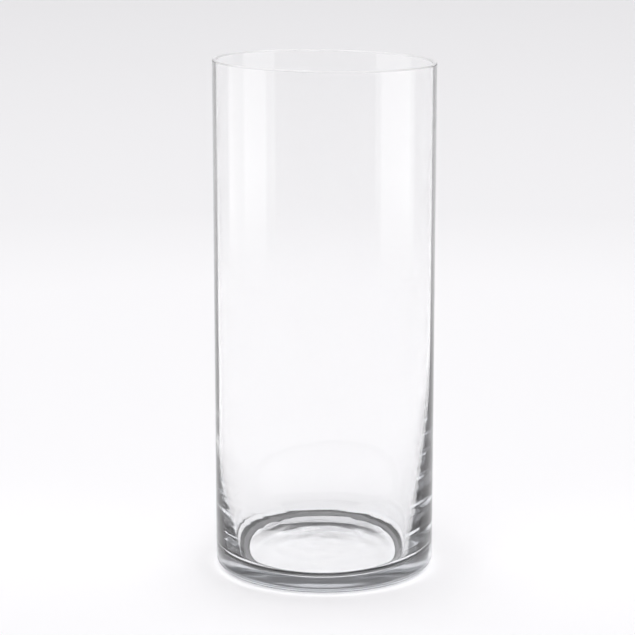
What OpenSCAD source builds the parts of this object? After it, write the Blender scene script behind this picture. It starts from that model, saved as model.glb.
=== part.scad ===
// Glass cylinder vase for cut flowers: one blown piece of clear glass.
// Millimetres, +Z up. The origin is the centre of the foot, on the surface that the vase stands on.

/* [Body] */
// Outside diameter of the cylinder
vase_d = 150; // [120:1:200]
// Overall height
vase_h = 350; // [240:5:500]
// Wall thickness in the straight upper part
wall_t = 3; // [2:0.25:5]

/* [Inside] */
// Thickness of the base, from the standing plane to the inside floor
base_t = 9.75; // [7:0.25:20]
// Height below which the wall thickens towards the base
taper_top = 128; // [100:5:200]
// Extra wall thickness gained on the way down to the floor's corner
taper_t = 9; // [2:0.5:12]
// Radius of the inside corner between wall and floor
corner_r = 9; // [4:0.5:16]

/* [Foot] */
// Radius of the rounded outside corner at the foot
heel_r = 6; // [4:0.5:12]
// Width of the flat ring that the vase stands on
ring_w = 15; // [8:0.5:20]
// Depth of the shallow hollow under the base
kick_h = 2; // [0.5:0.25:3.5]

/* [Hidden] */
$fn = 180;

outer_r = vase_d / 2;
inner_r = outer_r - wall_t;
rim_r = wall_t / 2;
ring_outer_r = outer_r - heel_r;
ring_inner_r = ring_outer_r - ring_w;

// The hollow under the base is a spherical cap of this radius.
kick_r = (pow(ring_inner_r, 2) + pow(kick_h, 2)) / (2 * kick_h);
kick_angle = 90 - asin(ring_inner_r / kick_r);

// The thickened lower wall is one long arc: tangent to the straight wall at taper_top,
// and tangent to the arc of the floor's corner below.
corner_z = base_t + corner_r;
taper_drop = taper_top - corner_z;
taper_r = (pow(taper_drop, 2) + pow(taper_t, 2)) / (2 * taper_t);
taper_x = inner_r - taper_r;
taper_angle = asin(taper_drop / (taper_r - corner_r));
corner_x = taper_x + (taper_r - corner_r) * cos(taper_angle);

// Points on an arc about [x, z], from one angle to another in equal steps.
// Starting at step 1 leaves out a point that the curve before has already placed.
function arc(x, z, r, from, to, steps, start = 0) = [
    for (i = [start : steps])
        let (a = from + (to - from) * i / steps)
            [x + r * cos(a), z + r * sin(a)]
];

// Right half of the vase's section: radius along x, height along y.
module section() {
    polygon(concat(
        arc(0, kick_h - kick_r, kick_r, 90, kick_angle, 6),
        arc(ring_outer_r, heel_r, heel_r, -90, 0, 12),
        arc(outer_r - rim_r, vase_h - rim_r, rim_r, 0, 180, 12),
        arc(taper_x, taper_top, taper_r, 0, -taper_angle, 14),
        arc(corner_x, corner_z, corner_r, -taper_angle, -90, 12, 1),
        [[0, base_t]]
    ));
}

// The whole vase: foot, wall and fire-polished rim are one turned shape of glass.
module vase_body() {
    color([0.93, 0.97, 0.97, 0.35])
        rotate_extrude()
            section();
}

vase_body();
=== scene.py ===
"""Glass cylinder vase: its looks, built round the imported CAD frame. Metres, +Z up."""
import math

import bpy
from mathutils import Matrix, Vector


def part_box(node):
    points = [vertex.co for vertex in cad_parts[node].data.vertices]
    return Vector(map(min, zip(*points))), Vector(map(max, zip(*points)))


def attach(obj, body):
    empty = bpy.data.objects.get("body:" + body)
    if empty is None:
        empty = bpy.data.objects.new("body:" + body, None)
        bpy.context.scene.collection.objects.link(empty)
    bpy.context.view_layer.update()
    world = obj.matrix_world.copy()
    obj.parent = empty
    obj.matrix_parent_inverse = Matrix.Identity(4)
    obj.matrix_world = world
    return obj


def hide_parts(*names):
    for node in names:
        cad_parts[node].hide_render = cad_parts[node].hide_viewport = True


MM = 0.001

# The vase's section, as in the CAD model.
WALL = 3 * MM
BASE = 9.75 * MM
TAPER_TOP = 128 * MM
TAPER = 9 * MM
CORNER = 9 * MM
HEEL = 6 * MM
RING = 15 * MM
KICK = 2 * MM

# How the blown glass differs from a turned shape. "Right" is +X and "back" is +Y.
SLANT = 2.4 * MM            # the rim is this much lower on the right than on the left
SLANT_DEPTH = 90 * MM       # the slant fades out over this height below the rim
TAPER_TOP_SWING = 38 * MM   # the wall starts to thicken this much higher on the right, lower on the left
TAPER_SWING = 1.8 * MM      # and it ends this much thicker on the right, thinner on the left
BASE_TILT = 2 * MM          # the inside floor is this much higher at the back, lower at the front
TILT_REACH = 58 * MM        # at this distance from the middle

# Waves in the glass: wavelength, turns round the vase, size and phase.
RIPPLES = [
    (9 * MM, 2, 0.010 * MM, 0.4),
    (5.5 * MM, -3, 0.014 * MM, 2.1),
    (3.4 * MM, 4, 0.010 * MM, 1.3),
    (29 * MM, 1, 0.014 * MM, 3.0),
]
RIPPLE_TOP = 150 * MM       # the inside wall's waves fade out up to here
RIPPLE_LOW = 10 * MM        # and they start here, at the floor,
RIPPLE_FULL = 40 * MM       # growing over this height
HOLLOW_RIPPLES = [
    (15 * MM, 3, 0.028 * MM, 0.9),
    (9 * MM, -5, 0.012 * MM, 2.5),
]

# How finely the mesh is divided.
SEGMENTS = 256
HOLLOW_ROWS = 24
RING_ROWS = 4
HEEL_STEPS = 14
OUTSIDE_ROWS = 60
RIM_STEPS = 14
INSIDE_ROWS = 40
TAPER_STEPS = 80
CORNER_STEPS = 20
FLOOR_ROWS = 24

# Painted shade: a grey line in the glass's colour along the outline, where the wall is seen edge on, for
# the dark surroundings seen there.
# Its greys run from where the wall's inside ends to the outline.
EDGE_VIEW = 0.978           # how nearly edge on the outline is, seen from a little above
EDGE_SHADE_STOPS = [(0, 1.0), (0.01, 1.0), (0.07, 0.01), (1, 0.01)]
EDGE_LOW = 4 * MM           # the line starts at this height
EDGE_LOW_FADE = 22 * MM
EDGE_HIGH = 60 * MM         # and is weaker from this distance below the rim
EDGE_HIGH_FADE = 120 * MM
EDGE_UPPER = 0.85
STREAK_SCALE = (12, 12, 150)  # streaks are this fine along x, y and z
STREAK_STOPS = [(0, 0.3), (0.38, 0.35), (0.50, 1.0), (1, 1.0)]
STREAK_TOP = 120 * MM       # it is broken into streaks below this height,
STREAK_FULL = 80 * MM       # and wholly below this one

# The glass.
IOR = 1.51
ABSORB = 2.0
ABSORB_COLOUR = (0.0, 0.08, 0.2, 1)
LIP = 2 * MM                # the frosted lip of the rim is this high
LIP_ROUGHNESS = 0.5
LIP_CLEAR = 0.15
HOLLOW_ROUGHNESS = 0.08
SKIN = 0.1 * MM             # a point this close to a surface is on it

# The ground standing ring, in painted shade: greys from its inside to its outside, darkest at both edges,
# at places that drift this far.
RING_SHADE_STOPS = [(0, 0.03), (0.16, 0.03), (0.28, 0.24), (0.60, 0.24), (0.76, 0.03), (1, 0.03)]
RING_DRIFT = 5 * MM
RING_NOISE_SCALE = 60.0
RING_ROUGHNESS = 0.6

# The floor: a painted pool of light, greys by distance from the vase, in metres.
FLOOR_PAINTED_LIGHT = [(0, 0.92), (1.0, 0.91), (1.5, 0.85), (3.6, 0.80), (6, 0.76)]
FLOOR_HALF = 12
FLOOR_Z = -0.05 * MM
FLOOR_ROUGHNESS = 0.8

# The studio's light by degrees above the horizon: as it lights the floor, and as it shows in the glass.
SKY_STOPS = [
    (0, 0.8), (6, 0.8), (10, 0.12), (28, 0.12), (34, 0.18), (50, 0.18), (56, 2.7), (90, 2.7),
]
SEEN_STOPS = [
    (0, 0.8), (6, 0.8), (10, 0.19), (28, 0.19), (34, 0.5), (46, 0.6), (56, 0.94), (90, 0.94),
]
DAYLIGHT = (0.99, 0.98, 1.0)

# The soft panels at the sides: where each starts and ends, in degrees from the front, seen from above.
STRIPS = [(-113, -60), (58, 103)]
STRIP_STEPS = 12
STRIP_DISTANCE = 1.1
STRIP_HEIGHT = 1.6
STRIP_POWER = 1.5
STRIP_LOW = 0.9             # the power at the foot, which grows to the full power
STRIP_FADE = 0.09           # over this height

# The camera, as the photograph was taken: millimetres for its lens, metres, and degrees.
LENS = 128.3
SENSOR = 36
CAMERA_PLACE = (0, -1.510, 0.496)
CAMERA_DOWN = 12.07
CAMERA_TURN = 0.178

GLASS_BOUNCES = 48
FLOOR_BOUNCES = 6

# A Mix node's sockets for colours, which share their names with its other sockets.
MIX_A = 6
MIX_B = 7
MIX_RESULT = 2


def arc(x, z, r, start, end, steps, skip_first=False):
    """Points on an arc about (x, z), in equal steps, with the angles in degrees."""
    points = []
    for i in range(1 if skip_first else 0, steps + 1):
        a = math.radians(start + (end - start) * i / steps)
        points.append((x + r * math.cos(a), z + r * math.sin(a)))
    return points


def line(start, end, steps):
    """Points between start and end, both left out."""
    return [
        (start[0] + (end[0] - start[0]) * i / steps, start[1] + (end[1] - start[1]) * i / steps)
        for i in range(1, steps)
    ]


def waves(place, azimuth, ripples):
    """The sum of some waves at this place along them and this azimuth."""
    return sum(
        size * math.sin(2 * math.pi * place / wave + turns * azimuth + phase)
        for wave, turns, size, phase in ripples
    )


def ripple(z, azimuth):
    """How far the inside wall stands proud at this height and azimuth."""
    fade = max(0.0, 1 - z / RIPPLE_TOP) * min(1.0, max(0.0, z - RIPPLE_LOW) / RIPPLE_FULL)
    return fade * waves(z, azimuth, RIPPLES)


def hollow(t, ring_inner, azimuth):
    """Height of the hollow under the base, at t of the way out to the standing ring."""
    return KICK * (1 - t ** 2) + 4 * t * (1 - t) * waves(t * ring_inner, azimuth, HOLLOW_RIPPLES)


def section(outer_r, height, azimuth):
    """The glass's section at one azimuth, from the middle of the underside to the inside floor's."""
    lean = math.cos(azimuth)
    inner_r = outer_r - WALL
    ring_outer = outer_r - HEEL
    ring_inner = ring_outer - RING
    rim_r = WALL / 2

    underside = [
        (ring_inner * i / HOLLOW_ROWS, hollow(i / HOLLOW_ROWS, ring_inner, azimuth))
        for i in range(HOLLOW_ROWS + 1)
    ]
    heel = arc(ring_outer, HEEL, HEEL, -90, 0, HEEL_STEPS)
    rim = arc(outer_r - rim_r, height - rim_r, rim_r, 0, 180, RIM_STEPS)
    lip_out = (outer_r, height - LIP)
    lip_in = (inner_r, height - LIP)

    # The thickening wall is an arc tangent to the straight wall and to the inside corner's arc,
    # which ends on the tilted floor.
    tilt = BASE_TILT / TILT_REACH * math.sin(azimuth)
    slope = math.atan(tilt)
    taper_top = TAPER_TOP + TAPER_TOP_SWING * lean
    taper = TAPER + TAPER_SWING * lean
    corner_z = BASE + tilt * TILT_REACH + CORNER * math.cos(slope)
    drop = taper_top - corner_z
    taper_r = (drop ** 2 + taper ** 2) / (2 * taper)
    taper_x = inner_r - taper_r
    taper_angle = math.degrees(math.asin(drop / (taper_r - CORNER)))
    corner_x = taper_x + (taper_r - CORNER) * math.cos(math.radians(taper_angle))
    corner_end = math.degrees(slope) - 90
    wall_in = arc(taper_x, taper_top, taper_r, 0, -taper_angle, TAPER_STEPS)
    corner = arc(corner_x, corner_z, CORNER, -taper_angle, corner_end, CORNER_STEPS, skip_first=True)

    # The floor runs from the corner's end to its middle, all on the tilt but for a slight bow.
    edge_r, edge_z = corner[-1]
    bow = edge_z - BASE - tilt * edge_r
    floor = []
    for i in range(FLOOR_ROWS - 1, -1, -1):
        t = i / FLOOR_ROWS
        floor.append((edge_r * t, BASE + tilt * edge_r * t + bow * t ** 2))

    wall_in = [(r - ripple(z, azimuth), z) for r, z in wall_in]
    corner = [(r - ripple(z, azimuth), z) for r, z in corner]
    return (
        underside
        + line(underside[-1], heel[0], RING_ROWS)
        + heel
        + line(heel[-1], lip_out, OUTSIDE_ROWS)
        + [lip_out]
        + rim
        + [lip_in]
        + line(lip_in, wall_in[0], INSIDE_ROWS)
        + wall_in
        + corner
        + floor
    )


def wall_thickness(z, azimuth):
    """The wall's thickness at this height and azimuth."""
    lean = math.cos(azimuth)
    depth = max(0.0, 1 - z / (TAPER_TOP + TAPER_TOP_SWING * lean))
    return WALL + (TAPER + TAPER_SWING * lean) * depth ** 2


def slanted(z, azimuth, height):
    """The height of a point once the rim is slanted down towards the right."""
    t = max(0.0, (z - (height - SLANT_DEPTH)) / SLANT_DEPTH)
    ease = t * t * (3 - 2 * t)
    return z - SLANT * ease * (1 + math.cos(azimuth)) / 2


def marks_at(x, y, z, lip, outer_r, height):
    """What the glass material is told about a point of the mesh."""
    azimuth = math.atan2(y, x)
    r = math.hypot(x, y)
    inner = 1 - wall_thickness(z, azimuth) / outer_r
    low = min(1.0, max(0.0, (z - EDGE_LOW) / EDGE_LOW_FADE))
    high = min(1.0, max(0.0, (height - EDGE_HIGH - z) / EDGE_HIGH_FADE))
    # Painted shade goes on the outside wall's colour, but not on the lip.
    shade_painted = r > outer_r - SKIN and not lip
    under = z < BASE / 2 and r < outer_r - HEEL - RING + SKIN
    return {
        "edge_start": 1 - EDGE_VIEW * math.sqrt(1 - inner ** 2),
        "painted_edge_shade": low * (EDGE_UPPER + (1 - EDGE_UPPER) * high) if shade_painted else 0.0,
        "mould_marked": 1.0 if under else 0.0,
        "lip": 1.0 if lip else 0.0,
    }


def glass_mesh(name, outer_r, height):
    """A closed lathe mesh whose section changes slowly with azimuth."""
    columns = []
    for s in range(SEGMENTS):
        azimuth = 2 * math.pi * s / SEGMENTS
        columns.append([
            (r * math.cos(azimuth), r * math.sin(azimuth), slanted(z, azimuth, height))
            for r, z in section(outer_r, height, azimuth)
        ])

    # The first and last row of every column meet in one point, under the base and on the floor.
    rows = len(columns[0]) - 2
    bottom = SEGMENTS * rows
    top = bottom + 1
    verts = [p for column in columns for p in column[1:-1]]
    verts += [columns[0][0], columns[0][-1]]
    faces = []
    for s in range(SEGMENTS):
        here = s * rows
        there = (s + 1) % SEGMENTS * rows
        faces.append((bottom, there, here))
        for i in range(rows - 1):
            faces.append((here + i, there + i, there + i + 1, here + i + 1))
        faces.append((here + rows - 1, there + rows - 1, top))
    mesh = bpy.data.meshes.new(name)
    mesh.from_pydata(verts, [], faces)
    mesh.polygons.foreach_set("use_smooth", [True] * len(faces))

    # The standing ring's faces take the second material.
    fan = rows + 1
    mesh.polygons.foreach_set("material_index", [
        1 if HOLLOW_ROWS <= i % fan < HOLLOW_ROWS + RING_ROWS else 0 for i in range(len(faces))
    ])

    marks = []
    for i, (x, y, z) in enumerate(verts):
        row = i % rows + 1 if i < bottom else 0
        lip = columns[0][row][2] > height - SLANT - LIP / 2
        marks.append(marks_at(x, y, z, lip, outer_r, height))
    for mark in marks[0]:
        attribute = mesh.attributes.new(mark, "FLOAT", "POINT")
        attribute.data.foreach_set("value", [point[mark] for point in marks])
    mesh.update()
    return add_object(name, mesh)


def add_object(name, data):
    """A new object in the scene."""
    added = bpy.data.objects.new(name, data)
    bpy.context.scene.collection.objects.link(added)
    return added


def node_tools(tree):
    """Two calls for one node tree: a new node, and the output of a new Math or Vector Math node."""
    def new(kind, links=(), **values):
        node = tree.nodes.new("ShaderNode" + kind)
        for socket, value in values.items():
            node.inputs[socket.replace("_", " ")].default_value = value
        for output, socket in links:
            tree.links.new(output, node.inputs[socket])
        return node

    def math_node(kind, operation, *values):
        node = tree.nodes.new("ShaderNode" + kind)
        node.operation = operation
        for i, value in enumerate(values):
            if isinstance(value, bpy.types.NodeSocket):
                tree.links.new(value, node.inputs[i])
            else:
                node.inputs[i].default_value = value
        return node.outputs[0]

    return new, math_node


def colour_ramp(tree, stops, value):
    """A ramp of colours, (place, colour), read at a value."""
    ramp = tree.nodes.new("ShaderNodeValToRGB")
    elements = ramp.color_ramp.elements
    while len(elements) < len(stops):
        elements.new(0.5)
    for element, (place, colour) in zip(elements, stops):
        element.position = place
        element.color = (*colour, 1)
    tree.links.new(value, ramp.inputs["Fac"])
    return ramp.outputs["Color"]


def grey_ramp(tree, stops, value):
    """A ramp of greys, (place, grey), read at a value."""
    return colour_ramp(tree, [(place, (grey, grey, grey)) for place, grey in stops], value)


def new_material(name):
    """A new material, its node tree and its Principled BSDF."""
    material = bpy.data.materials.new(name)
    material.use_nodes = True
    tree = material.node_tree
    return material, tree, tree.nodes["Principled BSDF"]


def glass_material():
    """Clear soda-lime glass, with shade painted into its colour where the wall is seen edge on, and a
    frosted lip.
    """
    material, tree, shader = new_material("clear_glass")
    new, math_node = node_tools(tree)
    link = tree.links.new
    shader.inputs["IOR"].default_value = IOR

    def mark(name):
        node = new("Attribute")
        node.attribute_name = name
        return node.outputs["Fac"]

    # The painted edge shade: how strong it is by viewing angle, where it lies, and its streaks near the
    # foot.
    facing = new("LayerWeight", Blend=0.5).outputs["Facing"]
    across = new("MapRange", [(facing, "Value"), (mark("edge_start"), "From Min")])
    edge = grey_ramp(tree, EDGE_SHADE_STOPS, across.outputs["Result"])
    where = new("TexCoord").outputs["Object"]
    stretched = math_node("VectorMath", "MULTIPLY", where, STREAK_SCALE)
    noise = new("TexNoise", [(stretched, "Vector")], Scale=1.0, Detail=2.0)
    streak = grey_ramp(tree, STREAK_STOPS, noise.outputs["Fac"])
    height = new("SeparateXYZ", [(where, "Vector")]).outputs["Z"]
    low = new("MapRange", [(height, "Value")], From_Min=STREAK_TOP, From_Max=STREAK_FULL)
    streaky = new("Mix", [(low.outputs["Result"], "Factor"), (streak, "B")], A=1.0)
    strength = math_node("Math", "MULTIPLY", mark("painted_edge_shade"), streaky.outputs["Result"])
    edge_shade_mix = new("Mix", [(strength, "Factor")])
    edge_shade_mix.data_type = "RGBA"
    edge_shade_mix.inputs[MIX_A].default_value = (1, 1, 1, 1)
    link(edge, edge_shade_mix.inputs[MIX_B])
    link(edge_shade_mix.outputs[MIX_RESULT], shader.inputs["Base Color"])

    # The lip is frosted, and the hollow under the base a little less than polished.
    lip = mark("lip")
    polish = new("MapRange", [(lip, "Value")], To_Max=LIP_ROUGHNESS).outputs["Result"]
    rough = math_node("Math", "MULTIPLY_ADD", mark("mould_marked"), HOLLOW_ROUGHNESS, polish)
    link(rough, shader.inputs["Roughness"])
    clear = new("MapRange", [(lip, "Value")], To_Min=1.0, To_Max=LIP_CLEAR)
    link(clear.outputs["Result"], shader.inputs["Transmission Weight"])

    volume = new("VolumeAbsorption", Color=ABSORB_COLOUR, Density=ABSORB)
    link(volume.outputs["Volume"], tree.nodes["Material Output"].inputs["Volume"])
    return material


def ring_material(ring_inner, ring_outer):
    """The standing ring, ground flat, in a painted grey shade for the dark contact under the foot, darker
    still at its edges.
    """
    material, tree, shader = new_material("ground_glass_painted_shade")
    new, math_node = node_tools(tree)
    shader.inputs["Roughness"].default_value = RING_ROUGHNESS
    where = new("TexCoord").outputs["Object"]
    flat = math_node("VectorMath", "MULTIPLY", where, (1, 1, 0))
    radius = new("VectorMath", [(flat, 0)])
    radius.operation = "LENGTH"
    noise = new("TexNoise", [(where, "Vector")], Scale=RING_NOISE_SCALE, Detail=3.0)
    drift = math_node(
        "Math", "MULTIPLY_ADD", noise.outputs["Fac"], RING_DRIFT, radius.outputs["Value"]
    )
    across = new("MapRange", [(drift, "Value")], From_Min=ring_inner, From_Max=ring_outer)
    grey = grey_ramp(tree, RING_SHADE_STOPS, across.outputs["Result"])
    tree.links.new(grey, shader.inputs["Base Color"])
    return material


def floor_material():
    """Pale studio paper with a painted pool of light that fades with distance."""
    material, tree, shader = new_material("pale_paper_painted_light")
    new, math_node = node_tools(tree)
    shader.inputs["Roughness"].default_value = FLOOR_ROUGHNESS
    shader.inputs["Specular IOR Level"].default_value = 0.0
    radius = new("VectorMath", [(new("TexCoord").outputs["Object"], 0)])
    radius.operation = "LENGTH"
    reach = FLOOR_PAINTED_LIGHT[-1][0]
    near = math_node("Math", "DIVIDE", radius.outputs["Value"], reach)
    fade = grey_ramp(tree, [(distance / reach, grey) for distance, grey in FLOOR_PAINTED_LIGHT], near)
    tree.links.new(fade, shader.inputs["Base Color"])
    return material


def make_floor():
    """A floor of pale paper, a hair below the vase's foot."""
    mesh = bpy.data.meshes.new("floor")
    h = FLOOR_HALF
    corners = [(-h, -h, FLOOR_Z), (h, -h, FLOOR_Z), (h, h, FLOOR_Z), (-h, h, FLOOR_Z)]
    mesh.from_pydata(corners, [], [(0, 1, 2, 3)])
    mesh.materials.append(floor_material())
    floor = add_object("floor", mesh)


def make_world():
    """Soft studio light by height alone, whose overhead part is toned down where it shows in the glass."""
    world = bpy.data.worlds.new("studio")
    world.use_nodes = True
    tree = world.node_tree
    new, math_node = node_tools(tree)
    height = new("SeparateXYZ", [(new("TexCoord").outputs["Generated"], "Vector")]).outputs["Z"]
    lit = math_node("Math", "MINIMUM", new("LightPath").outputs["Diffuse Depth"], 1.0)
    mix = new("Mix", [(lit, "Factor")])
    mix.data_type = "RGBA"
    peak = max(strength for angle, strength in SKY_STOPS)
    for stops, socket in ((SEEN_STOPS, MIX_A), (SKY_STOPS, MIX_B)):
        sky = colour_ramp(tree, [
            (math.sin(math.radians(angle)), [strength / peak * part for part in DAYLIGHT])
            for angle, strength in stops
        ], height)
        tree.links.new(sky, mix.inputs[socket])
    background = tree.nodes["Background"]
    tree.links.new(mix.outputs[MIX_RESULT], background.inputs["Color"])
    background.inputs["Strength"].default_value = peak
    bpy.context.scene.world = world


def make_strip(name, start, end):
    """A tall softbox, bent round the vase, that shows only as a highlight on the glass."""
    verts = []
    for i in range(STRIP_STEPS + 1):
        a = math.radians(start + (end - start) * i / STRIP_STEPS)
        x, y = STRIP_DISTANCE * math.sin(a), -STRIP_DISTANCE * math.cos(a)
        verts += [(x, y, 0), (x, y, STRIP_HEIGHT)]
    faces = [(2 * i, 2 * i + 2, 2 * i + 3, 2 * i + 1) for i in range(STRIP_STEPS)]
    mesh = bpy.data.meshes.new(name)
    mesh.from_pydata(verts, [], faces)
    strip = add_object(name, mesh)

    material, tree, _ = new_material(name)
    new, math_node = node_tools(tree)
    height = new("SeparateXYZ", [(new("TexCoord").outputs["Object"], "Vector")]).outputs["Z"]
    power = new(
        "MapRange", [(height, "Value")], From_Max=STRIP_FADE, To_Min=STRIP_LOW, To_Max=STRIP_POWER
    )
    glow = new("Emission", [(power.outputs["Result"], "Strength")]).outputs["Emission"]
    path = new("LightPath").outputs
    bounced = math_node("Math", "ADD", path["Glossy Depth"], path["Diffuse Depth"])
    bounced.node.use_clamp = True
    clear = new("BsdfTransparent").outputs["BSDF"]
    mix = new("MixShader", [(bounced, "Fac"), (clear, 1), (glow, 2)])
    tree.links.new(mix.outputs["Shader"], tree.nodes["Material Output"].inputs["Surface"])
    mesh.materials.append(material)
    strip.visible_camera = False
    strip.visible_diffuse = False
    strip.visible_shadow = False


def make_camera():
    """The camera, at the photograph's viewing angle."""
    data = bpy.data.cameras.new("camera")
    data.lens = LENS
    data.sensor_width = SENSOR
    camera = add_object("camera", data)
    camera.location = CAMERA_PLACE
    camera.rotation_euler = (math.radians(90 - CAMERA_DOWN), 0, math.radians(CAMERA_TURN))
    bpy.context.scene.camera = camera


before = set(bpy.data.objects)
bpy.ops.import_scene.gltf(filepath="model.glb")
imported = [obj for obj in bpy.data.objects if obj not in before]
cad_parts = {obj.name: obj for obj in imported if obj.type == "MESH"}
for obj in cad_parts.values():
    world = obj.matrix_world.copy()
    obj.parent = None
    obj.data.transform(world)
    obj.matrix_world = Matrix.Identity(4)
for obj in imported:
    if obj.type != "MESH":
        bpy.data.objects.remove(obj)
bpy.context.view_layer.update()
low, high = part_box("vase_body")

vase = glass_mesh("vase_glass", high.x, high.z)
vase.data.materials.append(glass_material())
vase.data.materials.append(ring_material(high.x - HEEL - RING, high.x - HEEL))
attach(vase, "root")
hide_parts("vase_body")

make_floor()
make_world()
for i, (start, end) in enumerate(STRIPS):
    make_strip(f"strip_{i}", start, end)
make_camera()
scene = bpy.context.scene
scene.view_settings.view_transform = "Standard"
scene.cycles.max_bounces = GLASS_BOUNCES
scene.cycles.transmission_bounces = GLASS_BOUNCES
scene.cycles.glossy_bounces = GLASS_BOUNCES
scene.cycles.diffuse_bounces = FLOOR_BOUNCES
scene.cycles.blur_glossy = 0.0
